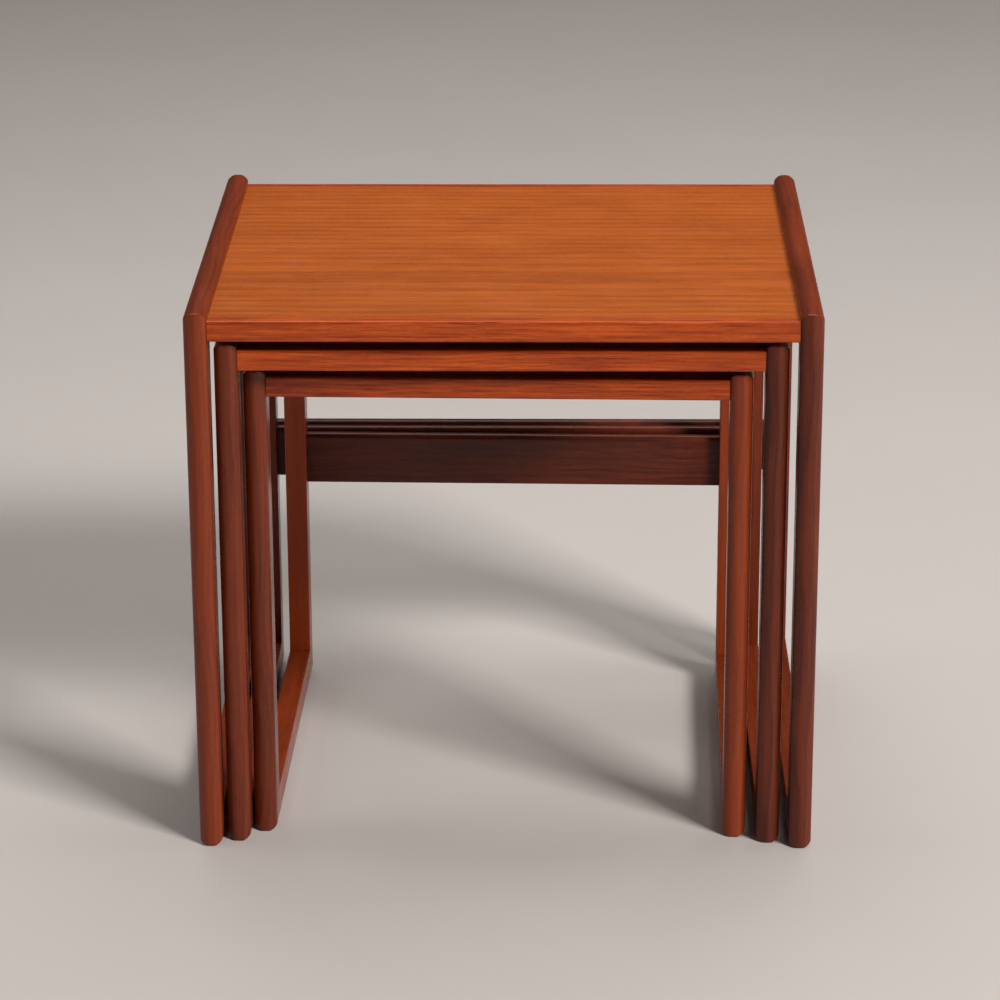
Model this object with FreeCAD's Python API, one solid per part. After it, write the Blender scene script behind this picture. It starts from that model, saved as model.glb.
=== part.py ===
"""Nest of three teak tables on loop-shaped side frames.

Each table is two upright side frames, a veneered top let in between them and one rail across the back.
The two smaller tables are loose: they stand on the floor inside the next larger one and pull out forwards.

Millimetres. +Z is up, +X is to the right of someone facing the front, and the fronts face -Y.
The origin is on the floor, under the middle of the large table.
"""
import FreeCAD, Part
import math
import os

V = FreeCAD.Vector

# --- Large table, overall ---
LARGE_WIDTH = 540.0
LARGE_DEPTH = 452.0
LARGE_HEIGHT = 492.5
LARGE_REVEAL = 1.0           # from the end of the side frames' crown down to the table surface

# --- Medium table, and how it stands in the large one ---
MEDIUM_SIDE_PLAY = 12.0      # left and right gaps together, at the nearest corners
MEDIUM_HEAD_GAP = 3.75       # under the larger table's top
MEDIUM_REVEAL = 0.0
MEDIUM_FRONT_STEP = 11.0     # its front stands this far behind the larger front
MEDIUM_BACK_GAP = 0.8        # to the larger table's rear rail, at the nearest corner
MEDIUM_SHIFT = -1.9          # to the right of the larger table's middle
MEDIUM_TURN = 0.0            # degrees, seen from above, anticlockwise

# --- Small table, and how it stands in the medium one ---
SMALL_SIDE_PLAY = 3.4
SMALL_HEAD_GAP = 4.35
SMALL_REVEAL = 0.0
SMALL_FRONT_STEP = 16.0
SMALL_BACK_GAP = 0.9
SMALL_SHIFT = 0.2
SMALL_TURN = -1.2            # the loose small table stands a little askew

# --- Side-frame members ---
MEMBER_THICK = 20.0          # across the table
MEMBER_DEEP = 30.0           # in the plane of the frame
CROWN_FLATNESS = 2.0         # how much larger the crown's radius is than half the thickness
CROWN_RADIUS = MEMBER_THICK / 2 + CROWN_FLATNESS
EDGE_ROUND = 4.75            # rounding that takes the crown over into the two sides
CROWN_DEPTH = CROWN_RADIUS - math.sqrt((CROWN_RADIUS - EDGE_ROUND) ** 2 - (MEMBER_THICK / 2 - EDGE_ROUND) ** 2)
INNER_EASE = 1.0             # eased edge on the two inner edges
CORNER_ROUND = 2.5           # the loop's outer corners, seen from the side

# --- Tops ---
TOP_THICK = 18.5
VENEER_THICK = 0.8
LIP_DEEP = 12.0              # solid lipping, front to back
LIP_EASE = 2.0               # rounding on the lipping's two outer edges
LIP_SETBACK = 5.0            # behind the faces of the legs

# --- Rear rails ---
RAIL_TOP = 250.0             # above the floor, the same on every table
RAIL_HIGH = 49.5
RAIL_THICK = 12.0
RAIL_SETBACK = 12.0          # from the backs of the rear legs to the middle of the rail
RAIL_TOP_LAND = 2.0          # flat left between the round-overs along the top
RAIL_BOTTOM_EASE = 2.0

# --- Loose tenons across the mitres ---
TENON_THICK = 5.0
TENON_WIDE = 16.0            # along the mitre
TENON_LONG = 18.0            # across the mitre
TENON_INSET = 2.0            # from the middle of the mitre towards the inner corner, both ways
TENON_ROUND = 2.0
TENON_PLAY = 0.1             # glue room on every side

# --- Dowels ---
TOP_DOWEL_RADIUS = 4.0
TOP_DOWEL_LONG = 30.0
TOP_DOWEL_IN_FRAME = 12.0
TOP_DOWEL_COUNT = 4          # on each side of a top
TOP_DOWEL_END = 60.0         # from the ends of the core to the first and last
RAIL_DOWEL_RADIUS = 3.0
RAIL_DOWEL_LONG = 28.0
RAIL_DOWEL_IN_FRAME = 12.0
RAIL_DOWEL_SPACING = 24.0
DOWEL_PLAY = 0.05            # glue room round a dowel
DOWEL_END_PLAY = 0.5         # and past each end


class Table:
    """The overall sizes of one table of the nest, and where it stands."""

    def __init__(self, name, width, depth, height, reveal, middle=V(0, 0, 0), turn=0.0):
        self.name = name
        self.width = width
        self.depth = depth
        self.height = height
        self.surface = height - CROWN_DEPTH - reveal
        self.underside = self.surface - TOP_THICK
        self.inner_half = width / 2 - MEMBER_THICK
        self.middle = middle
        self.turn = turn

    def nested(self, name, side_play, head_gap, reveal, front_step, back_gap, shift, turn):
        """The table that stands inside this one."""
        front = -self.depth / 2 + front_step
        room_wide = 2 * self.inner_half - side_play
        room_deep = rail_front(self) - back_gap - front
        # A turned table gives up some width and depth, so that its corners keep the same gaps.
        slant = abs(math.sin(math.radians(turn)))
        width = room_wide - slant * room_deep
        depth = room_deep - slant * room_wide / 2
        height = self.underside - head_gap
        middle = self.middle + V(shift, front + depth / 2, 0)
        return Table(name, width, depth, height, reveal, middle, turn)

    def stand(self, shape):
        """Move a piece from the table's own frame to where the table stands."""
        placed = shape.copy()
        placed.rotate(V(0, 0, 0), V(0, 0, 1), self.turn)
        placed.translate(self.middle)
        return placed


def rail_middle(table):
    """How far back the middle of the rear rail is."""
    return table.depth / 2 - RAIL_SETBACK


def rail_front(table):
    """How far back the front face of the rear rail is."""
    return rail_middle(table) - RAIL_THICK / 2


def rounded_bar(corner, across, up, along, radii):
    """A straight bar with a rectangular section and its own radius on each long edge.

    The section is spanned by across and up from the corner. The radii are those at the corner, at the end
    of across, diagonally opposite and at the end of up; an edge with radius 0 stays sharp.
    """
    sides = [across, up, -across, -up]
    spot = corner
    bends = []
    for index, radius in enumerate(radii):
        come = V(sides[index - 1]).normalize()
        go = V(sides[index]).normalize()
        middle = spot + (go - come) * (radius * (1 - math.sqrt(0.5)))
        bends.append((spot - come * radius, middle, spot + go * radius))
        spot = spot + sides[index]
    edges = []
    for radius, (start, middle, stop), after in zip(radii, bends, bends[1:] + bends[:1]):
        if radius > 0:
            edges.append(Part.Arc(start, middle, stop).toShape())
        edges.append(Part.LineSegment(stop, after[0]).toShape())
    return Part.Face(Part.Wire(edges)).extrude(along)


def crowned_section():
    """Cross-section of a member, outer face down: a shallow crown that runs over into two flat sides."""
    def mirrored(spot):
        return V(MEMBER_THICK - spot.x, 0, spot.z)

    crown_middle = V(MEMBER_THICK / 2, 0, CROWN_RADIUS)
    edge_middle = V(MEMBER_THICK - EDGE_ROUND, 0, CROWN_DEPTH)
    outwards = V(edge_middle - crown_middle).normalize()
    crown_end = crown_middle + outwards * CROWN_RADIUS
    edge_half = edge_middle + V(outwards + V(1, 0, 0)).normalize() * EDGE_ROUND
    side_start = V(MEMBER_THICK, 0, CROWN_DEPTH)
    side_end = V(MEMBER_THICK, 0, MEMBER_DEEP - INNER_EASE)
    inner_start = V(MEMBER_THICK - INNER_EASE, 0, MEMBER_DEEP)
    ease_half = V(MEMBER_THICK, 0, MEMBER_DEEP) + V(-1, 0, -1) * (INNER_EASE * (1 - math.sqrt(0.5)))
    outline = [Part.Arc(mirrored(crown_end), V(MEMBER_THICK / 2, 0, 0), crown_end),
               Part.Arc(crown_end, edge_half, side_start),
               Part.LineSegment(side_start, side_end),
               Part.Arc(side_end, ease_half, inner_start),
               Part.LineSegment(inner_start, mirrored(inner_start)),
               Part.Arc(mirrored(inner_start), mirrored(ease_half), mirrored(side_end)),
               Part.LineSegment(mirrored(side_end), mirrored(side_start)),
               Part.Arc(mirrored(side_start), mirrored(edge_half), mirrored(crown_end))]
    return Part.Face(Part.Wire([edge.toShape() for edge in outline]))


def mitred_outline(length):
    """Side view of a member: mitred ends, and half of the loop's rounded corner at each of them."""
    def corner_point(degrees):
        angle = math.radians(degrees)
        return CORNER_ROUND * (1 - math.sin(angle)), CORNER_ROUND * (1 - math.cos(angle))

    near = [V(0, *corner_point(degrees)) for degrees in (45, 22.5, 0)]
    far = [V(0, length - spot.y, spot.z) for spot in reversed(near)]
    inner = [V(0, length - MEMBER_DEEP, MEMBER_DEEP), V(0, MEMBER_DEEP, MEMBER_DEEP)]
    outline = [Part.Arc(*near), Part.LineSegment(near[-1], far[0]), Part.Arc(*far),
               Part.LineSegment(far[-1], inner[0]), Part.LineSegment(*inner),
               Part.LineSegment(inner[1], near[0])]
    return Part.Face(Part.Wire([edge.toShape() for edge in outline]))


def mitred_member(length):
    """A side-frame member along +Y from the origin, outer edge down, both ends cut at 45 degrees."""
    bar = crowned_section().extrude(V(0, length, 0))
    return bar.common(mitred_outline(length).extrude(V(MEMBER_THICK, 0, 0)))


def loose_tenon(play=0.0):
    """The loose tenon of the corner at the origin; with play, the mortise for it."""
    thick, wide, long = TENON_THICK + 2 * play, TENON_WIDE + 2 * play, TENON_LONG + 2 * play
    corner = V(-thick / 2, -long / 2, -wide / 2)
    radii = (TENON_ROUND + play,) * 4
    tenon = rounded_bar(corner, V(thick, 0, 0), V(0, 0, wide), V(0, long, 0), radii)
    tenon.rotate(V(0, 0, 0), V(1, 0, 0), -45)
    centre = MEMBER_DEEP / 2 + TENON_INSET
    tenon.translate(V(MEMBER_THICK / 2, centre, centre))
    return tenon


def side_frame(table):
    """The four mitred members of one side frame by name, and their tenons, from X = 0 to its thickness."""
    half = table.depth / 2
    # Round the loop from the front foot: each corner turns the next member by a right angle.
    loop = [("runner", table.depth, V(0, -half, 0)), ("rear_leg", table.height, V(0, half, 0)),
            ("top_rail", table.depth, V(0, half, table.height)),
            ("front_leg", table.height, V(0, -half, table.height))]

    def to_corner(shape, index):
        shape.rotate(V(0, 0, 0), V(1, 0, 0), 90 * index)
        shape.translate(loop[index][2])
        return shape

    tenons = [to_corner(loose_tenon(), index) for index in range(len(loop))]
    mortises = [to_corner(loose_tenon(TENON_PLAY), index) for index in range(len(loop))]
    members = {}
    for index, (name, length, _) in enumerate(loop):
        member = to_corner(mitred_member(length), index)
        members[name] = member.cut(mortises[index]).cut(mortises[(index + 1) % len(loop)])
    return members, tenons


def pegs(spots, radius, length, play=0.0, end_play=0.0):
    """Round pegs along X, centred on the spots; with play, the holes for them."""
    half = V(length / 2 + end_play, 0, 0)
    return [Part.makeCylinder(radius + play, 2 * half.x, spot - half, V(1, 0, 0)) for spot in spots]


def spread(first, last, count):
    """Evenly spaced values from first to last."""
    return [first + (last - first) * index / (count - 1) for index in range(count)]


def top_dowel_spots(table):
    """Middles of the dowels that join the core of the top to both side frames."""
    inset = TOP_DOWEL_LONG / 2 - TOP_DOWEL_IN_FRAME
    reach = core_half_depth(table) - TOP_DOWEL_END
    level = table.surface - TOP_THICK / 2
    return [V(side * (table.inner_half - inset), y, level)
            for side in (-1, 1) for y in spread(-reach, reach, TOP_DOWEL_COUNT)]


def rail_dowel_spots(table):
    """Middles of the dowels that join the rear rail to both rear legs."""
    inset = RAIL_DOWEL_LONG / 2 - RAIL_DOWEL_IN_FRAME
    level = RAIL_TOP - RAIL_HIGH / 2
    return [V(side * (table.inner_half - inset), rail_middle(table), level + rise)
            for side in (-1, 1) for rise in (-RAIL_DOWEL_SPACING / 2, RAIL_DOWEL_SPACING / 2)]


def core_half_depth(table):
    """From the middle of the top to where a lipping starts."""
    return table.depth / 2 - LIP_SETBACK - LIP_DEEP


def top_board(table, low, thick):
    """One flat layer of the top, between the side frames and between the lippings."""
    half = core_half_depth(table)
    return Part.makeBox(2 * table.inner_half, 2 * half, thick, V(-table.inner_half, -half, low))


def lipping(table, side):
    """Solid edge strip of the top: side -1 is the front, +1 the back."""
    inner = V(-table.inner_half, side * core_half_depth(table), table.underside)
    radii = (0.0, LIP_EASE, LIP_EASE, 0.0)
    along = V(2 * table.inner_half, 0, 0)
    return rounded_bar(inner, V(0, side * LIP_DEEP, 0), V(0, 0, TOP_THICK), along, radii)


def rear_rail(table):
    """The rail between the rear legs, rounded along the top."""
    corner = V(-table.inner_half, rail_front(table), RAIL_TOP - RAIL_HIGH)
    top_round = (RAIL_THICK - RAIL_TOP_LAND) / 2
    radii = (RAIL_BOTTOM_EASE, RAIL_BOTTOM_EASE, top_round, top_round)
    along = V(2 * table.inner_half, 0, 0)
    return rounded_bar(corner, V(0, RAIL_THICK, 0), V(0, 0, RAIL_HIGH), along, radii)


def build_table(table):
    """Every piece of one table by name, in the table's own frame."""
    top_spots, rail_spots = top_dowel_spots(table), rail_dowel_spots(table)
    top_holes = pegs(top_spots, TOP_DOWEL_RADIUS, TOP_DOWEL_LONG, DOWEL_PLAY, DOWEL_END_PLAY)
    rail_holes = pegs(rail_spots, RAIL_DOWEL_RADIUS, RAIL_DOWEL_LONG, DOWEL_PLAY, DOWEL_END_PLAY)
    pieces = {}
    corner_tenons = []
    for side, left_face in (("left", -table.width / 2), ("right", table.inner_half)):
        members, tenons = side_frame(table)
        for name, member in members.items():
            member.translate(V(left_face, 0, 0))
            pieces[f"{side}_{name}"] = member
        for tenon in tenons:
            tenon.translate(V(left_face, 0, 0))
        corner_tenons += tenons
        pieces[f"{side}_top_rail"] = pieces[f"{side}_top_rail"].cut(top_holes)
        pieces[f"{side}_rear_leg"] = pieces[f"{side}_rear_leg"].cut(rail_holes)
    core_thick = TOP_THICK - 2 * VENEER_THICK
    core_low = table.underside + VENEER_THICK
    pieces["top_core"] = top_board(table, core_low, core_thick).cut(top_holes)
    pieces["top_veneer"] = top_board(table, core_low + core_thick, VENEER_THICK)
    pieces["backing_veneer"] = top_board(table, table.underside, VENEER_THICK)
    pieces["front_lip"] = lipping(table, -1)
    pieces["rear_lip"] = lipping(table, 1)
    pieces["rear_rail"] = rear_rail(table).cut(rail_holes)
    pieces["corner_tenons"] = Part.makeCompound(corner_tenons)
    pieces["top_dowels"] = Part.makeCompound(pegs(top_spots, TOP_DOWEL_RADIUS, TOP_DOWEL_LONG))
    pieces["rail_dowels"] = Part.makeCompound(pegs(rail_spots, RAIL_DOWEL_RADIUS, RAIL_DOWEL_LONG))
    return pieces


def main():
    large = Table("large", LARGE_WIDTH, LARGE_DEPTH, LARGE_HEIGHT, LARGE_REVEAL)
    medium = large.nested("medium", MEDIUM_SIDE_PLAY, MEDIUM_HEAD_GAP, MEDIUM_REVEAL,
                          MEDIUM_FRONT_STEP, MEDIUM_BACK_GAP, MEDIUM_SHIFT, MEDIUM_TURN)
    small = medium.nested("small", SMALL_SIDE_PLAY, SMALL_HEAD_GAP, SMALL_REVEAL,
                          SMALL_FRONT_STEP, SMALL_BACK_GAP, SMALL_SHIFT, SMALL_TURN)
    os.makedirs("parts", exist_ok=True)
    for table in (large, medium, small):
        print(f"{table.name} table: {table.width:.1f} x {table.depth:.1f} x {table.height:.1f}")
        for name, piece in build_table(table).items():
            table.stand(piece).exportStep(f"parts/{table.name}_{name}.step")


main()
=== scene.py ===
"""Looks of a nest of three teak tables on loop-shaped side frames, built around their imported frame.

Metres, +Z up, the fronts face -Y. Sizes and places come from the frame's own pieces. What a restorer would
choose, such as roundings, wood colours and gloss, is in the property groups below.
"""
import math
from functools import lru_cache

import bpy
from mathutils import Matrix, Vector


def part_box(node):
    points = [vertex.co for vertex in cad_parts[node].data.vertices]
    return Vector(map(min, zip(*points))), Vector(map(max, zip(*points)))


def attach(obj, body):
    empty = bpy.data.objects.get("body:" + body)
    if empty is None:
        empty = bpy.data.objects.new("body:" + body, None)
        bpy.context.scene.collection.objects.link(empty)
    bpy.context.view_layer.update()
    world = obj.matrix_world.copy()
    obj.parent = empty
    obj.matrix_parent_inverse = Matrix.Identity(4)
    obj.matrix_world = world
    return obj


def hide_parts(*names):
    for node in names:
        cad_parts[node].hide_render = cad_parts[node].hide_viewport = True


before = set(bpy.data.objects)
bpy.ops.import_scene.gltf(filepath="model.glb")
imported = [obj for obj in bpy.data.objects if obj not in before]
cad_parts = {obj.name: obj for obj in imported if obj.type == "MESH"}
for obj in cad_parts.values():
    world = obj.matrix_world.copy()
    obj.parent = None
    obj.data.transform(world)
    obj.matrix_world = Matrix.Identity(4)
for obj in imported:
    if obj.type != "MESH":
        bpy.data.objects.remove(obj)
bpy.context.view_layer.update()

bl_info = {
    "name": "Nest of Teak Tables",
    "version": (1, 0, 0),
    "blender": (4, 5, 0),
    "location": "3D Viewport > Sidebar > Nest",
    "description": "Builds the visible wood of a nest of three teak tables around its frame",
    "category": "Object",
}

TABLES = ("large", "medium", "small")
LOOP = ("runner", "rear_leg", "top_rail", "front_leg")
RIGHT, BACK, UP = Vector((1, 0, 0)), Vector((0, 1, 0)), Vector((0, 0, 1))
GOLDEN = 0.6180339887             # spreads the boards' figure shifts evenly
NEAR = 0.000001                   # points closer than this are one point
SHARP_ANGLE = math.radians(32)    # edges that turn more than this are shaded sharp
CORNER_RINGS = 7                  # rings at each end of a mitred member, for the loop's rounded corner

# How light or dark each board is, from -1 to 1. This is partly the wood's own tone and partly painted light
# and shade. Boards that stand in shade are painted darker: the rear rails, the frame boards that aren't named
# and the medium table's right front leg beside its neighbour. Shaded faces such as the small table's rear
# legs are painted lighter. A frame board that isn't named is at the frame value just below, and any other
# board at 0.
FRAME_TONE_AND_PAINTED_SHADE = -0.3
BOARD_TONES_AND_PAINTED_LIGHT = {
    "large_left_front_leg": 0.0, "large_right_front_leg": -0.55,
    "medium_left_front_leg": -0.38, "medium_right_front_leg": -0.7,
    "small_left_front_leg": -0.45, "small_right_front_leg": 0.24,
    "small_left_rear_leg": 1.0, "small_right_rear_leg": 0.35,
    "large_left_top_rail": -0.2, "large_right_top_rail": -0.1,
    "large_rear_rail": -0.68, "medium_rear_rail": -0.62, "small_rear_rail": -0.72,
    "small_left_runner": 0.1, "small_right_runner": -0.1,
    "small_front_lip": -0.25, "medium_front_lip": 0.05, "large_front_lip": 0.1,
}

# Each teak finish: which colours of NestWood it has, and its figure. Ring spacing and wander are in
# millimetres.
FINISHES = {
    "frame_teak": dict(colours="frame", ring_spacing=6.0, ring_contrast=0.12, streak_contrast=0.7,
                       wander=20.0, bump=0.15),
    "rail_teak": dict(colours="frame", ring_spacing=6.0, ring_contrast=0.12, streak_contrast=0.8,
                      wander=30.0, bump=0.15),
    "lip_teak": dict(colours="lip", ring_spacing=3.2, ring_contrast=0.14, streak_contrast=3.0,
                     wander=16.0, bump=0.25),
    "veneer_teak": dict(colours="veneer", ring_spacing=13.0, ring_contrast=0.24, streak_contrast=2.0,
                        wander=9.0, bump=0.10),
    "backing_teak": dict(colours="backing", ring_spacing=6.0, ring_contrast=0.3, streak_contrast=1.4,
                         wander=20.0, bump=0.3),
}
GLOSS = {"Coat Weight": 0.05, "Coat Roughness": 0.22, "Specular IOR Level": 0.28}
WEAR_REACH = 0.0028               # how far in from an edge the lacquer has rubbed thin
WEAR_PALENESS = 0.45              # share of the light colour where it has
FIBRE_RELIEF = 0.0002             # how deep the open pores look

# Each light: its power in NestStage, how far it stands from the lit point, degrees to the right of the front
# and above the floor, and the width of its square.
LIGHTS = {
    "key": ("key_power", 9.0, 47, 38, 2.3),
    "left_fill": ("fill_power", 2.4, -88, 28, 1.2),
    "right_fill": ("fill_power", 2.4, 92, 28, 1.2),
    "overhead": ("overhead_power", 3.0, 176, 68, 2.6),
}
LIT_POINT = Vector((0, 0, 0.25))
FLOOR_REACH = 12.0

CAMERA_LENS, CAMERA_SENSOR = 133.47, 36.0     # millimetres
CAMERA_PLACE = (0.05114, -3.19789, 1.41095)
CAMERA_YAW, CAMERA_PITCH, CAMERA_ROLL = -0.0183, 0.34968, -0.00402


# --- What a user would change ---

def length(name, description, default):
    """A size in metres."""
    return bpy.props.FloatProperty(name=name, description=description, default=default,
                                   min=0, unit="LENGTH", precision=5)


def colour(name, description, default):
    """A linear colour."""
    return bpy.props.FloatVectorProperty(name=name, description=description, default=default,
                                         size=3, min=0, max=1, subtype="COLOR")


def share(name, description, default):
    """A share from 0 to 1."""
    return bpy.props.FloatProperty(name=name, description=description, default=default,
                                   min=0, max=1, subtype="FACTOR")


def power(name, description, default):
    """A light's power in watts."""
    return bpy.props.FloatProperty(name=name, description=description, default=default, min=0, unit="POWER")


class NestJoinery(bpy.types.PropertyGroup):
    """Roundings and joint lines."""
    crown_flatness: length("Crown flatness",
                           "How much larger a member's crown radius is than half its thickness", 0.002)
    edge_round: length("Edge round", "Rounding that takes a member's crown over into its two sides", 0.00475)
    inner_ease: length("Inner ease", "Rounding of a member's two inner edges", 0.001)
    corner_round: length("Corner round", "Rounding of the loop's outer corners, seen from the side", 0.0025)
    joint_line: length("Joint line", "Fine bevel on both sides of a glued joint", 0.00012)
    lip_ease: length("Lip ease", "Rounding of a lipping's two outer edges", 0.002)
    rail_top_land: length("Rail top land", "Flat left along the top of a rear rail", 0.002)
    rail_bottom_ease: length("Rail bottom ease", "Rounding along the bottom of a rear rail", 0.002)
    round_steps: bpy.props.IntProperty(name="Round steps", description="Facets in each rounding",
                                       default=12, min=1, max=64)


class NestWood(bpy.types.PropertyGroup):
    """Colours and gloss of the wood."""
    frame_light: colour("Frame light", "Lighter wood of the side frames and rails", (0.330, 0.048, 0.0085))
    frame_dark: colour("Frame dark", "Darker wood of the side frames and rails", (0.055, 0.0085, 0.0035))
    lip_light: colour("Lip light", "Lighter wood of the lippings", (0.60, 0.092, 0.0080))
    lip_dark: colour("Lip dark", "Darker wood of the lippings", (0.17, 0.015, 0.003))
    veneer_light: colour("Veneer light", "Lighter stripes of the tops", (0.56, 0.131, 0.0150))
    veneer_dark: colour("Veneer dark", "Darker stripes of the tops", (0.29, 0.050, 0.007))
    pore: colour("Pores", "Open pores and dark lines", (0.045, 0.012, 0.006))
    backing_light: colour("Backing light", "Lighter wood of the veneer under the tops", (0.20, 0.085, 0.035))
    backing_dark: colour("Backing dark", "Darker wood of the veneer under the tops", (0.12, 0.051, 0.021))
    raw_wood: colour("Raw wood", "Hidden core boards, tenons and dowels", (0.56, 0.36, 0.19))
    roughness: share("Roughness", "How matt the lacquer is", 0.26)


class NestStage(bpy.types.PropertyGroup):
    """Floor and lights."""
    floor: colour("Floor", "Plain pale floor", (0.56, 0.51, 0.475))
    key_power: power("Key light", "Large soft light at the front right", 860)
    fill_power: power("Fill light", "Soft lights at the left and right", 9)
    overhead_power: power("Overhead light", "Wide soft light above the back", 48)
    surround: colour("Surround", "Light from the empty room all round", (0.05, 0.042, 0.038))


# --- Node graphs ---

class Graph:
    """Adds nodes to a tree and wires their sockets."""

    def __init__(self, tree):
        self.tree = tree

    def node(self, kind, feeds=(), **settings):
        """A node with some settings; feeds maps an input's name or place to a value or another socket."""
        made = self.tree.nodes.new(kind)
        for name, value in settings.items():
            setattr(made, name, value)
        for socket, value in dict(feeds).items():
            self.feed(made.inputs[socket], value)
        return made

    def feed(self, socket, value):
        if isinstance(value, bpy.types.NodeSocket):
            self.tree.links.new(value, socket)
        else:
            socket.default_value = value

    def math(self, operation, *values, clamp=False):
        made = self.node("ShaderNodeMath", enumerate(values), operation=operation, use_clamp=clamp)
        return made.outputs[0]

    def vector(self, operation, *values):
        """Arithmetic on vectors; LENGTH gives a number."""
        made = self.node("ShaderNodeVectorMath", enumerate(values), operation=operation)
        return made.outputs["Value" if operation == "LENGTH" else "Vector"]

    def scaled(self, vector, factor):
        made = self.node("ShaderNodeVectorMath", {0: vector, "Scale": factor}, operation="SCALE")
        return made.outputs["Vector"]

    def parts(self, vector):
        """The three numbers of a vector."""
        return self.node("ShaderNodeSeparateXYZ", {0: vector}).outputs[:]

    def joined(self, x, y, z):
        return self.node("ShaderNodeCombineXYZ", {0: x, 1: y, 2: z}).outputs[0]

    def ranged(self, value, low, high, new_low=0.0, new_high=1.0):
        """Smoothly maps low..high to new_low..new_high and holds the ends."""
        feeds = {0: value, 1: low, 2: high, 3: new_low, 4: new_high}
        return self.node("ShaderNodeMapRange", feeds, interpolation_type="SMOOTHSTEP").outputs[0]

    def blend(self, share_of_second, first, second):
        """Mixes two colours."""
        feeds = {0: share_of_second, 6: first, 7: second}
        return self.node("ShaderNodeMix", feeds, data_type="RGBA").outputs[2]

    def noise(self, vector, detail=2.0, roughness=0.5):
        """Noise from about 0.2 to 0.8 with cells one unit wide."""
        feeds = {"Vector": vector, "Scale": 1.0, "Detail": detail, "Roughness": roughness}
        return self.node("ShaderNodeTexNoise", feeds).outputs[0]


def sockets(tree, direction, **kinds):
    """Gives the tree its named inputs or outputs."""
    for name, kind in kinds.items():
        tree.interface.new_socket(socket_name(name), in_out=direction, socket_type=kind)


def socket_name(name):
    """ring_spacing is the socket "Ring spacing"."""
    return name.replace("_", " ").capitalize()


def opaque(values):
    """A colour with full alpha."""
    return (*values, 1.0)


# --- The bar that every long piece of wood is ---

@lru_cache(maxsize=None)
def bar_tree():
    """Geometry Nodes: a bar along +Y from the origin, outer face down, with square or mitred ends.

    Its four long edges are rounded. Its points keep where they are in the board, as "board": along, across
    and in from the outer face.
    """
    tree = bpy.data.node_groups.new("rounded_bar", "GeometryNodeTree")
    number, whole = "NodeSocketFloat", "NodeSocketInt"
    sockets(tree, "INPUT", length=number, thickness=number, depth=number, outer_round=number,
            inner_round=number, crown_radius=number, edge_round=number, mitre=number, corner_round=number,
            joint_line=number, round_steps=whole, end_rings=whole, figure_shift=number, tone=number,
            wood="NodeSocketMaterial")
    sockets(tree, "OUTPUT", geometry="NodeSocketGeometry")
    g = Graph(tree)
    given = g.node("NodeGroupInput").outputs

    corners = g.node("GeometryNodeCurvePrimitiveQuadrilateral",
                     {"Width": given["Thickness"], "Height": given["Depth"]})
    spot = g.node("GeometryNodeInputPosition").outputs[0]
    is_inner = g.math("GREATER_THAN", g.parts(spot)[1], 0.0)
    radius = g.node("ShaderNodeMix", {0: is_inner, 2: given["Outer round"], 3: given["Inner round"]})
    section = g.node("GeometryNodeFilletCurve", mode="POLY",
                     feeds={"Curve": corners.outputs[0], "Count": given["Round steps"],
                            "Radius": radius.outputs[0]})
    spine = g.node("GeometryNodeResampleCurve",
                   {"Curve": g.node("GeometryNodeCurvePrimitiveLine").outputs[0],
                    "Count": g.math("MULTIPLY", given["End rings"], 2)})
    section, across_in = captured(g, section.outputs[0], "VECTOR", spot)
    spine, ring = captured(g, spine.outputs[0], "INT", g.node("GeometryNodeInputIndex").outputs[0])
    body = g.node("GeometryNodeCurveToMesh", {"Curve": spine, "Profile Curve": section, "Fill Caps": True})

    board = bar_shape(g, given, across_in, ring)
    along, across, inwards = g.parts(board)
    placed = g.node("GeometryNodeSetPosition",
                    {"Geometry": body.outputs[0], "Position": g.joined(across, along, inwards)}).outputs[0]
    placed = g.node("GeometryNodeMergeByDistance", {"Geometry": placed, "Distance": NEAR}).outputs[0]
    # The tone stored here carries each board's painted light and shade along with its wood's own tone.
    for name, kind, value in (("board", "FLOAT_VECTOR", board), ("tone", "FLOAT", given["Tone"]),
                              ("figure_shift", "FLOAT", given["Figure shift"])):
        placed = g.node("GeometryNodeStoreNamedAttribute", {"Geometry": placed, "Name": name, "Value": value},
                        data_type=kind, domain="POINT").outputs[0]
    real = g.node("GeometryNodeRealizeInstances", {"Geometry": placed})
    wood = g.node("GeometryNodeSetMaterial", {"Geometry": real.outputs[0], "Material": given["Wood"]})
    g.node("NodeGroupOutput", {0: wood.outputs[0]})
    return tree


def captured(g, curve, kind, value):
    """The curve, and the value as it is at each of its points now."""
    keep = g.node("GeometryNodeCaptureAttribute", {0: curve}, domain="POINT")
    keep.capture_items.new(kind, "kept")
    g.feed(keep.inputs[1], value)
    return keep.outputs[0], keep.outputs[1]


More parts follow.
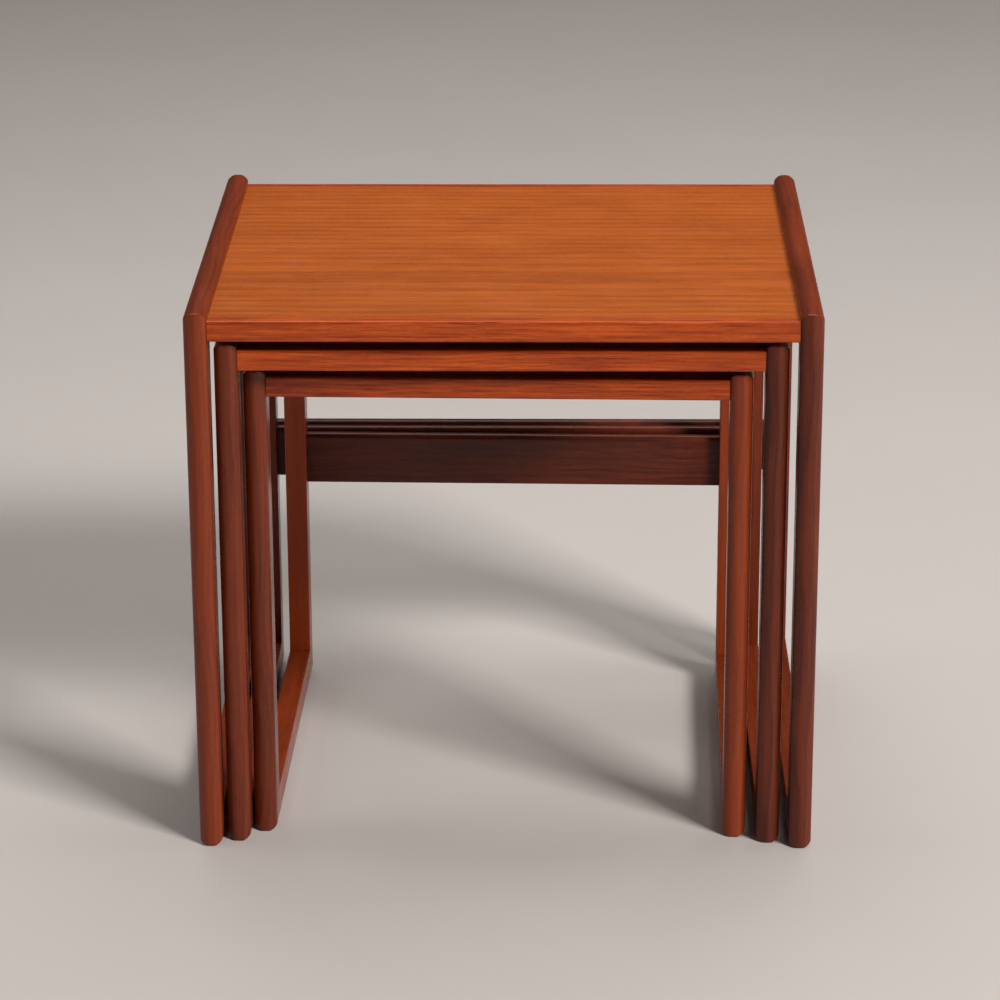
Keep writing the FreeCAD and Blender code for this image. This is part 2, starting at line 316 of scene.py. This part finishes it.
def bar_shape(g, given, section_spot, ring):
    """Where a point of the bar lies in the board: along, across and in from the outer face.

    The first and last rings are the glued ends, drawn in by the joint line. Next to a mitre the rings
    follow the loop's rounded corner, an arc that starts on the mitre and runs out on the outer face.
    """
    last_ring = g.math("SUBTRACT", g.math("MULTIPLY", given["End rings"], 2), 1)
    from_end = g.math("MINIMUM", ring, g.math("SUBTRACT", last_ring, ring))
    is_glued = g.math("LESS_THAN", from_end, 0.5)
    steps = g.math("SUBTRACT", given["End rings"], 2)
    walked = g.math("DIVIDE", g.math("MAXIMUM", g.math("SUBTRACT", from_end, 1), 0), steps)
    angle = g.math("MULTIPLY", g.math("SUBTRACT", 1, walked), math.pi / 4)
    arc_along = g.math("MULTIPLY", given["Corner round"], g.math("SUBTRACT", 1, g.math("SINE", angle)))
    arc_in = g.math("MULTIPLY", given["Corner round"], g.math("SUBTRACT", 1, g.math("COSINE", angle)))
    arc_start = g.math("MULTIPLY", given["Corner round"], 1 - math.sqrt(0.5))

    across, inwards = crowned(g, given, section_spot)
    up = g.math("SUBTRACT", inwards, g.math("MULTIPLY", given["Depth"], 0.5))
    on_mitre = g.math("SUBTRACT", g.math("MAXIMUM", inwards, arc_start), arc_start)
    reach = g.math("MULTIPLY", given["Mitre"], g.math("ADD", on_mitre, arc_along))
    reach = g.math("ADD", reach, g.math("MULTIPLY", g.math("SUBTRACT", 1, is_glued), given["Joint line"]))
    is_far = g.math("GREATER_THAN", ring, g.math("SUBTRACT", given["End rings"], 0.5))
    far = g.math("SUBTRACT", given["Length"], reach)
    along = g.node("ShaderNodeMix", {0: is_far, 2: reach, 3: far}).outputs[0]

    drawn_in = g.math("MULTIPLY", is_glued, g.math("MULTIPLY", given["Joint line"], 2))
    across = g.math("MULTIPLY", across, g.math("SUBTRACT", 1, g.math("DIVIDE", drawn_in, given["Thickness"])))
    centred = g.math("MULTIPLY", up, g.math("SUBTRACT", 1, g.math("DIVIDE", drawn_in, given["Depth"])))
    inwards = g.math("ADD", centred, g.math("MULTIPLY", given["Depth"], 0.5))
    return g.joined(along, across, g.math("MAXIMUM", inwards, arc_in))


def crowned(g, given, section_spot):
    """Across and in from the outer face, with a half-round outer side flattened to a crown if it has one.

    The crown is an arc of its own radius; at its two ends the edge rounding takes it over into the sides.
    """
    across, up, _ = g.parts(section_spot)
    inwards = g.math("ADD", up, g.math("MULTIPLY", given["Depth"], 0.5))
    half = g.math("MULTIPLY", given["Thickness"], 0.5)
    crown, edge = given["Crown radius"], given["Edge round"]
    sine = g.math("DIVIDE", across, half)
    cosine = g.math("SQRT", g.math("MAXIMUM", g.math("SUBTRACT", 1, g.math("MULTIPLY", sine, sine)), 0))
    edge_across = g.math("SUBTRACT", half, edge)
    from_crown = g.math("SUBTRACT", crown, edge)
    on_edge = g.math("GREATER_THAN", g.math("ABSOLUTE", sine), g.math("DIVIDE", edge_across, from_crown))
    rise = g.math("SQRT", g.math("MAXIMUM", g.math("SUBTRACT", g.math("MULTIPLY", from_crown, from_crown),
                                                   g.math("MULTIPLY", edge_across, edge_across)), 0))
    edge_across = g.math("MULTIPLY_ADD", g.math("SIGN", sine), edge_across, g.math("MULTIPLY", edge, sine))
    edge_in = g.math("SUBTRACT", g.math("SUBTRACT", crown, rise), g.math("MULTIPLY", edge, cosine))
    crown_in = g.math("MULTIPLY", crown, g.math("SUBTRACT", 1, cosine))
    new_across = g.node("ShaderNodeMix", {0: on_edge, 2: g.math("MULTIPLY", crown, sine), 3: edge_across})
    new_in = g.node("ShaderNodeMix", {0: on_edge, 2: crown_in, 3: edge_in})
    applies = g.math("MULTIPLY", g.math("GREATER_THAN", crown, 0.0),
                     g.math("LESS_THAN", inwards, g.math("ADD", half, NEAR)))
    return [g.node("ShaderNodeMix", {0: applies, 2: plain, 3: new.outputs[0]}).outputs[0]
            for plain, new in ((across, new_across), (inwards, new_in))]


def bar_mesh(name, **values):
    """A plain mesh of the bar with these sizes, named as the tree's inputs are."""
    carrier = bpy.data.objects.new(name, bpy.data.meshes.new(name))
    bpy.context.scene.collection.objects.link(carrier)
    modifier = carrier.modifiers.new("bar", "NODES")
    modifier.node_group = bar_tree()
    for item in bar_tree().interface.items_tree:
        if item.in_out == "INPUT":
            modifier[item.identifier] = values[item.name.lower().replace(" ", "_")]
    seen = carrier.evaluated_get(bpy.context.evaluated_depsgraph_get())
    mesh = bpy.data.meshes.new_from_object(seen)
    bpy.data.objects.remove(carrier)
    mesh.name = name
    mesh.shade_smooth()
    mesh.set_sharp_from_angle(angle=SHARP_ANGLE)
    return mesh


def axes(across, along, inwards, origin):
    """The matrix that takes a bar's own axes to these."""
    turn = Matrix((across, along, inwards)).transposed().to_4x4()
    return Matrix.Translation(origin) @ turn


# --- Where the tables stand ---

@lru_cache(maxsize=None)
def stand(table):
    """From a table's own axes, with its middle at the origin, to where it stands."""
    legs = [middle_of(f"{table}_{side}_{leg}")
            for side in ("left", "right") for leg in ("front_leg", "rear_leg")]
    across = (legs[2] + legs[3]) - (legs[0] + legs[1])
    middle = sum(legs, Vector()) / len(legs)
    middle.z = 0
    return Matrix.Translation(middle) @ Matrix.Rotation(math.atan2(across.y, across.x), 4, "Z")


def middle_of(node):
    low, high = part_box(node)
    return (low + high) / 2


@lru_cache(maxsize=None)
def own_box(table, *pieces):
    """Lowest and highest corner of some pieces of a table, in the table's own axes."""
    inverse = stand(table).inverted()
    spots = [inverse @ vertex.co for piece in pieces
             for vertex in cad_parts[f"{table}_{piece}"].data.vertices]
    return tuple(Vector(pick(spot[axis] for spot in spots) for axis in range(3)) for pick in (min, max))


def add_board(table, piece, slot, finish, place, **sizes):
    """Builds one bar of wood in a table's own axes, stands it and lets it take a node's place."""
    node = f"{table}_{piece}"
    number = sorted(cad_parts).index(node)
    joinery = bpy.context.scene.nest_joinery
    # A board's tone holds painted light and shade as well as the wood's own tone.
    shared = {"joint_line": joinery.joint_line, "round_steps": joinery.round_steps, "end_rings": 2,
              "mitre": 0.0, "corner_round": 0.0, "outer_round": 0.0, "inner_round": 0.0,
              "crown_radius": 0.0, "edge_round": 0.0, "figure_shift": number * GOLDEN % 1,
              "tone": BOARD_TONES_AND_PAINTED_LIGHT.get(node, FRAME_TONE_AND_PAINTED_SHADE if slot == "teak_frame" else 0.0),
              "wood": teak(finish, round(sizes["thickness"], 5), round(sizes["depth"], 5))}
    mesh = bar_mesh(f"{node}_wood", **{**shared, **sizes})
    mesh.transform(stand(table) @ place)
    board = bpy.data.objects.new(mesh.name, mesh)
    bpy.context.scene.collection.objects.link(board)
    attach(board, f"{table}_table")
    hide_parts(node)


# --- Wood ---

@lru_cache(maxsize=None)
def teak_figure():
    """Shader group: growth rings, streaks, fibres and pores of a teak board."""
    tree = bpy.data.node_groups.new("teak_figure", "ShaderNodeTree")
    number, tint = "NodeSocketFloat", "NodeSocketColor"
    sockets(tree, "INPUT", board="NodeSocketVector", figure_shift=number, tone=number, light=tint, dark=tint,
            pore=tint, ring_spacing=number, ring_contrast=number, streak_contrast=number, wander=number)
    sockets(tree, "OUTPUT", colour=tint, height=number, roughness_change=number)
    g = Graph(tree)
    given = g.node("NodeGroupInput").outputs
    millimetres = g.scaled(given["Board"], 1000)
    spot = g.vector("ADD", millimetres, g.scaled((917, 431, 257), given["Figure shift"]))

    def stretched(along, across):
        return g.vector("MULTIPLY", spot, (along, across, across))

    # Rings lie round a heart some way outside the board; slow noise makes them wander along it.
    _, across, inwards = g.parts(millimetres)
    heart = g.math("MULTIPLY_ADD", given["Figure shift"], 60, 35)
    off = g.joined(0.0, g.math("ADD", across, heart), g.math("ADD", inwards, 48))
    wander = g.math("MULTIPLY", g.math("SUBTRACT", g.noise(stretched(0.006, 0.03), 3), 0.5), given["Wander"])
    from_heart = g.math("ADD", g.vector("LENGTH", off), wander)
    ring = g.math("FRACT", g.math("DIVIDE", from_heart, given["Ring spacing"]))
    late_wood = g.math("SUBTRACT", g.ranged(ring, 0.25, 0.9), g.ranged(ring, 0.9, 1.0))

    streak = g.noise(stretched(0.010, 0.28), 6, 0.78)
    cloud = g.noise(stretched(0.006, 0.02), 1)
    fibre = g.noise(stretched(0.10, 3.0), 2)
    dash = g.ranged(g.noise(stretched(0.16, 2.2), 1), 0.60, 0.72)
    shade = g.math("MULTIPLY", g.math("SUBTRACT", late_wood, 0.4), given["Ring contrast"])
    shade = g.math("ADD", shade, g.math("MULTIPLY", g.math("SUBTRACT", streak, 0.5),
                                        given["Streak contrast"]))
    # The tone, with the painted light and shade it holds, moves the whole board towards the light or dark
    # colour.
    light = g.math("SUBTRACT", g.math("MULTIPLY_ADD", given["Tone"], 0.5, 0.5), shade)
    light = g.math("ADD", light, g.math("MULTIPLY", g.math("SUBTRACT", cloud, 0.5), 0.4))
    light = g.math("ADD", light, g.math("MULTIPLY", g.math("SUBTRACT", fibre, 0.5), 0.35), clamp=True)
    pores = g.math("MULTIPLY", dash, g.math("MULTIPLY_ADD", late_wood, 0.35, 0.25))
    wood = g.blend(light, given["Dark"], given["Light"])
    wood = g.blend(pores, wood, given["Pore"])
    height = g.math("SUBTRACT", g.math("MULTIPLY", fibre, 0.35), dash)
    rougher = g.math("MULTIPLY_ADD", dash, 0.12, g.math("MULTIPLY", g.math("SUBTRACT", cloud, 0.5), 0.10))
    g.node("NodeGroupOutput", {0: wood, 1: height, 2: rougher})
    return tree


@lru_cache(maxsize=None)
def edge_wear():
    """Shader group: 1 where the lacquer has rubbed thin, along the four long edges of a board."""
    tree = bpy.data.node_groups.new("edge_wear", "ShaderNodeTree")
    number = "NodeSocketFloat"
    sockets(tree, "INPUT", board="NodeSocketVector", figure_shift=number, thickness=number, depth=number,
            reach=number)
    sockets(tree, "OUTPUT", worn=number)
    g = Graph(tree)
    given = g.node("NodeGroupInput").outputs
    _, across, inwards = g.parts(given["Board"])
    from_side = g.math("SUBTRACT", g.math("ABSOLUTE", across), g.math("MULTIPLY", given["Thickness"], 0.5))
    to_outer = g.vector("LENGTH", g.joined(from_side, inwards, 0.0))
    to_inner = g.vector("LENGTH", g.joined(from_side, g.math("SUBTRACT", inwards, given["Depth"]), 0.0))
    nearest = g.math("MINIMUM", to_outer, to_inner)
    close = g.ranged(nearest, 0.0, given["Reach"], 1.0, 0.0)
    place = g.vector("MULTIPLY", given["Board"], (60, 300, 300))
    place = g.vector("ADD", place, g.joined(g.math("MULTIPLY", given["Figure shift"], 71), 0.0, 0.0))
    patchy = g.ranged(g.noise(place, 4, 0.65), 0.45, 0.7)
    g.node("NodeGroupOutput", {0: g.math("MULTIPLY", close, patchy)})
    return tree


@lru_cache(maxsize=None)
def lacquer():
    """Shader group: roughness of old satin lacquer, with handling smudges and hair-fine rubbing marks."""
    tree = bpy.data.node_groups.new("lacquer", "ShaderNodeTree")
    number = "NodeSocketFloat"
    sockets(tree, "INPUT", board="NodeSocketVector", roughness=number, change=number, worn=number)
    sockets(tree, "OUTPUT", roughness=number)
    g = Graph(tree)
    given = g.node("NodeGroupInput").outputs
    smudge = g.ranged(g.noise(g.vector("MULTIPLY", given["Board"], (22, 22, 22)), 3, 0.6), 0.35, 0.75)
    rub = g.noise(g.vector("MULTIPLY", given["Board"], (40, 2600, 2600)), 2)
    total = g.math("ADD", given["Roughness"], given["Change"])
    total = g.math("MULTIPLY_ADD", smudge, 0.10, total)
    total = g.math("MULTIPLY_ADD", g.math("SUBTRACT", rub, 0.5), 0.08, total)
    total = g.math("MULTIPLY_ADD", given["Worn"], 0.15, total, clamp=True)
    g.node("NodeGroupOutput", {0: total})
    return tree


def group(g, tree, **feeds):
    """Places a shader group and gives its outputs; feeds are named as its inputs are."""
    named = {socket_name(name): value for name, value in feeds.items()}
    return g.node("ShaderNodeGroup", named, node_tree=tree).outputs


def own_value(g, name, output="Fac"):
    """What a piece's points keep under this name."""
    return g.node("ShaderNodeAttribute", attribute_name=name).outputs[output]


@lru_cache(maxsize=None)
def teak(finish, thickness, depth):
    """Lacquered teak of one finish, for boards of one section."""
    wood = bpy.context.scene.nest_wood
    look = dict(FINISHES[finish])
    bump, colours = look.pop("bump"), look.pop("colours")
    light, dark = (opaque(getattr(wood, f"{colours}_{shade}")) for shade in ("light", "dark"))
    material = bpy.data.materials.new(finish)
    material.use_nodes = True
    g = Graph(material.node_tree)
    shader = material.node_tree.nodes["Principled BSDF"]
    board, shift = own_value(g, "board", "Vector"), own_value(g, "figure_shift")
    figure = group(g, teak_figure(), board=board, figure_shift=shift, tone=own_value(g, "tone"),
                   light=light, dark=dark, pore=opaque(wood.pore), **look)
    worn = group(g, edge_wear(), board=board, figure_shift=shift, thickness=thickness, depth=depth,
                 reach=WEAR_REACH)[0]
    rubbed = g.blend(g.math("MULTIPLY", worn, WEAR_PALENESS), figure["Colour"], light)
    g.feed(shader.inputs["Base Color"], rubbed)
    g.feed(shader.inputs["Roughness"], group(g, lacquer(), board=board, roughness=wood.roughness,
                                             change=figure["Roughness change"], worn=worn)[0])
    relief = g.node("ShaderNodeBump",
                    {"Strength": bump, "Distance": FIBRE_RELIEF, "Height": figure["Height"]})
    g.feed(shader.inputs["Normal"], relief.outputs[0])
    for name, value in GLOSS.items():
        shader.inputs[name].default_value = value
    return material


@lru_cache(maxsize=None)
def raw_wood(name, flake, stretch, contrast):
    """Unfinished wood inside the joints: flakes of a board core, or the flecks of a turned peg."""
    base = bpy.context.scene.nest_wood.raw_wood
    material = bpy.data.materials.new(name)
    material.use_nodes = True
    g = Graph(material.node_tree)
    shader = material.node_tree.nodes["Principled BSDF"]
    place = g.node("ShaderNodeTexCoord").outputs["Object"]
    flakes = g.node("ShaderNodeTexVoronoi", {"Scale": 1 / flake})
    g.feed(flakes.inputs["Vector"], g.vector("MULTIPLY", place, stretch))
    tint = g.parts(flakes.outputs["Color"])[0]
    grain = g.noise(g.vector("MULTIPLY", place, (900, 900, 900)), 3)
    light = g.math("MULTIPLY_ADD", g.math("ADD", tint, grain), contrast, 1 - contrast, clamp=True)
    dark = tuple(0.45 * value for value in base)
    g.feed(shader.inputs["Base Color"], g.blend(light, opaque(dark), opaque(base)))
    g.feed(shader.inputs["Roughness"], g.ranged(grain, 0.2, 0.8, 0.75, 0.9))
    relief = g.node("ShaderNodeBump", {"Strength": 0.4, "Distance": 0.0003, "Height": grain})
    g.feed(shader.inputs["Normal"], relief.outputs[0])
    return material


# --- The pieces, one operator for each kind ---

class NEST_OT_side_frames(bpy.types.Operator):
    """Build the mitred members of the six side frames"""
    bl_idname = "nest.side_frames"
    bl_label = "Side Frames"

    def execute(self, context):
        joinery = context.scene.nest_joinery
        for table in TABLES:
            for side in ("left", "right"):
                low, high = own_box(table, *(f"{side}_{member}" for member in LOOP))
                leg_low, leg_high = own_box(table, f"{side}_front_leg")
                thickness, depth = high.x - low.x, leg_high.y - leg_low.y
                for index, member in enumerate(LOOP):
                    place, reach = loop_place(low, high, index)
                    add_board(table, f"{side}_{member}", "teak_frame", "frame_teak", place, length=reach,
                              thickness=thickness, depth=depth, mitre=1.0, end_rings=CORNER_RINGS,
                              outer_round=thickness / 2, inner_round=joinery.inner_ease,
                              crown_radius=thickness / 2 + joinery.crown_flatness,
                              edge_round=joinery.edge_round, corner_round=joinery.corner_round)
        return {"FINISHED"}


def loop_place(low, high, index):
    """Where member number index of a loop starts and points, and its length; the runner comes first."""
    middle = (low.x + high.x) / 2
    corners = [(low.y, low.z), (high.y, low.z), (high.y, high.z), (low.y, high.z)]
    along = [BACK, UP, -BACK, -UP][index]
    start = Vector((middle, *corners[index]))
    reach = high.y - low.y if index % 2 == 0 else high.z - low.z
    return axes(RIGHT, along, RIGHT.cross(along), start), reach


class NEST_OT_lippings(bpy.types.Operator):
    """Build the solid lippings along the fronts and backs of the tops"""
    bl_idname = "nest.lippings"
    bl_label = "Lippings"

    def execute(self, context):
        ease = context.scene.nest_joinery.lip_ease
        for table in TABLES:
            for piece, across in (("front_lip", UP), ("rear_lip", -UP)):
                low, high = own_box(table, piece)
                thickness, depth = high.z - low.z, high.y - low.y
                face = low.y if across == UP else high.y
                place = axes(across, RIGHT, across.cross(RIGHT), Vector((low.x, face, (low.z + high.z) / 2)))
                add_board(table, piece, "teak_lip", "lip_teak", place, length=high.x - low.x,
                          thickness=thickness, depth=depth, outer_round=ease)
        return {"FINISHED"}


class NEST_OT_rear_rails(bpy.types.Operator):
    """Build the rail between the rear legs of each table"""
    bl_idname = "nest.rear_rails"
    bl_label = "Rear Rails"

    def execute(self, context):
        joinery = context.scene.nest_joinery
        for table in TABLES:
            low, high = own_box(table, "rear_rail")
            thickness, depth = high.y - low.y, high.z - low.z
            place = axes(BACK, RIGHT, -UP, Vector((low.x, (low.y + high.y) / 2, high.z)))
            add_board(table, "rear_rail", "teak_frame", "rail_teak", place,
                      length=high.x - low.x, thickness=thickness, depth=depth,
                      outer_round=(thickness - joinery.rail_top_land) / 2,
                      inner_round=joinery.rail_bottom_ease)
        return {"FINISHED"}


class NEST_OT_veneers(bpy.types.Operator):
    """Build the face and backing veneers of the tops"""
    bl_idname = "nest.veneers"
    bl_label = "Veneers"

    def execute(self, context):
        for table in TABLES:
            for piece, slot, finish in (("top_veneer", "teak_veneer", "veneer_teak"),
                                        ("backing_veneer", "backing_veneer", "backing_teak")):
                low, high = own_box(table, piece)
                thickness, depth = high.y - low.y, high.z - low.z
                place = axes(BACK, RIGHT, -UP, Vector((low.x, (low.y + high.y) / 2, high.z)))
                add_board(table, piece, slot, finish, place, length=high.x - low.x,
                          thickness=thickness, depth=depth)
        return {"FINISHED"}


class NEST_OT_hidden_joinery(bpy.types.Operator):
    """Give the board cores, tenons and dowels their raw wood"""
    bl_idname = "nest.hidden_joinery"
    bl_label = "Cores, Tenons and Dowels"

    def execute(self, context):
        core = raw_wood("flaked_core", 0.004, (0.5, 1.0, 1.6), 0.45)
        peg = raw_wood("beech_peg", 0.0012, (0.25, 1.0, 1.0), 0.25)
        for table in TABLES:
            for piece, material in (("top_core", core), ("corner_tenons", peg), ("top_dowels", peg),
                                    ("rail_dowels", peg)):
                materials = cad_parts[f"{table}_{piece}"].data.materials
                materials.clear()
                materials.append(material)
        return {"FINISHED"}


class NEST_OT_stage(bpy.types.Operator):
    """Lay the floor and set up the lights and the camera"""
    bl_idname = "nest.stage"
    bl_label = "Stage"

    def execute(self, context):
        look = context.scene.nest_stage
        lay_floor(look)
        light_room(look)
        set_camera(context.scene)
        context.scene.view_settings.view_transform = "Standard"
        return {"FINISHED"}


def lay_floor(look):
    """A plain pale floor that runs out of sight."""
    corners = [(x * FLOOR_REACH, y * FLOOR_REACH, 0) for x, y in ((-1, -1), (1, -1), (1, 1), (-1, 1))]
    mesh = bpy.data.meshes.new("floor")
    mesh.from_pydata(corners, [], [(0, 1, 2, 3)])
    material = bpy.data.materials.new("floor")
    material.use_nodes = True
    g = Graph(material.node_tree)
    shader = material.node_tree.nodes["Principled BSDF"]
    place = g.node("ShaderNodeTexCoord").outputs["Object"]
    cloudy = g.noise(g.vector("MULTIPLY", place, (2.5, 2.5, 2.5)), 4, 0.6)
    darker = tuple(0.92 * value for value in look.floor)
    g.feed(shader.inputs["Base Color"], g.blend(cloudy, opaque(darker), opaque(look.floor)))
    shader.inputs["Roughness"].default_value = 0.6
    mesh.materials.append(material)
    floor = bpy.data.objects.new("floor", mesh)
    bpy.context.scene.collection.objects.link(floor)


def area_light(name, place, size, watts):
    """A square soft light that faces the nest."""
    lamp = bpy.data.lights.new(name, "AREA")
    lamp.shape = "SQUARE"
    lamp.size = size
    lamp.energy = watts
    held = bpy.data.objects.new(name, lamp)
    facing = (LIT_POINT - place).to_track_quat("-Z", "Y").to_matrix().to_4x4()
    held.matrix_world = Matrix.Translation(place) @ facing
    bpy.context.scene.collection.objects.link(held)


def light_room(look):
    """A soft light at the front right, weaker ones at the sides and above the back, and an even surround."""
    for name, (setting, distance, right_of_front, above, size) in LIGHTS.items():
        place = LIT_POINT + distance * direction(right_of_front, above)
        area_light(name, place, size, getattr(look, setting))
    world = bpy.data.worlds.new("surround")
    world.use_nodes = True
    world.node_tree.nodes["Background"].inputs["Color"].default_value = opaque(look.surround)
    bpy.context.scene.world = world


def direction(right_of_front, above):
    """Unit vector from the object: degrees to the right of the front, and degrees above the floor."""
    turn, rise = math.radians(right_of_front), math.radians(above)
    return Vector((math.sin(turn) * math.cos(rise), -math.cos(turn) * math.cos(rise), math.sin(rise)))


def set_camera(scene):
    """A long lens in front, a little to the right and above, looking down on the tops."""
    camera = bpy.data.cameras.new("camera")
    camera.sensor_width = CAMERA_SENSOR
    camera.lens = CAMERA_LENS
    held = bpy.data.objects.new("camera", camera)
    turn = (Matrix.Rotation(-CAMERA_YAW, 4, "Z") @ Matrix.Rotation(math.pi / 2 - CAMERA_PITCH, 4, "X")
            @ Matrix.Rotation(CAMERA_ROLL, 4, "Z"))
    held.matrix_world = Matrix.Translation(CAMERA_PLACE) @ turn
    scene.collection.objects.link(held)
    scene.camera = held


class NEST_PT_panel(bpy.types.Panel):
    """The nest's settings and steps, in the sidebar"""
    bl_idname = "NEST_PT_panel"
    bl_label = "Nest of Tables"
    bl_space_type = "VIEW_3D"
    bl_region_type = "UI"
    bl_category = "Nest"

    def draw(self, context):
        for settings in (context.scene.nest_joinery, context.scene.nest_wood, context.scene.nest_stage):
            box = self.layout.box()
            for name in settings.__annotations__:
                box.prop(settings, name)
        for step in STEPS:
            self.layout.operator(step.bl_idname)


STEPS = (NEST_OT_stage, NEST_OT_side_frames, NEST_OT_lippings, NEST_OT_rear_rails, NEST_OT_veneers,
         NEST_OT_hidden_joinery)
SETTINGS = {"nest_joinery": NestJoinery, "nest_wood": NestWood, "nest_stage": NestStage}
CLASSES = (*SETTINGS.values(), *STEPS, NEST_PT_panel)


def register():
    for each in CLASSES:
        bpy.utils.register_class(each)
    for name, settings in SETTINGS.items():
        setattr(bpy.types.Scene, name, bpy.props.PointerProperty(type=settings))


def unregister():
    for name in SETTINGS:
        delattr(bpy.types.Scene, name)
    for each in reversed(CLASSES):
        bpy.utils.unregister_class(each)


def main():
    register()
    for step in STEPS:
        getattr(bpy.ops.nest, step.bl_idname.split(".")[1])()


if __name__ == "__main__":
    main()
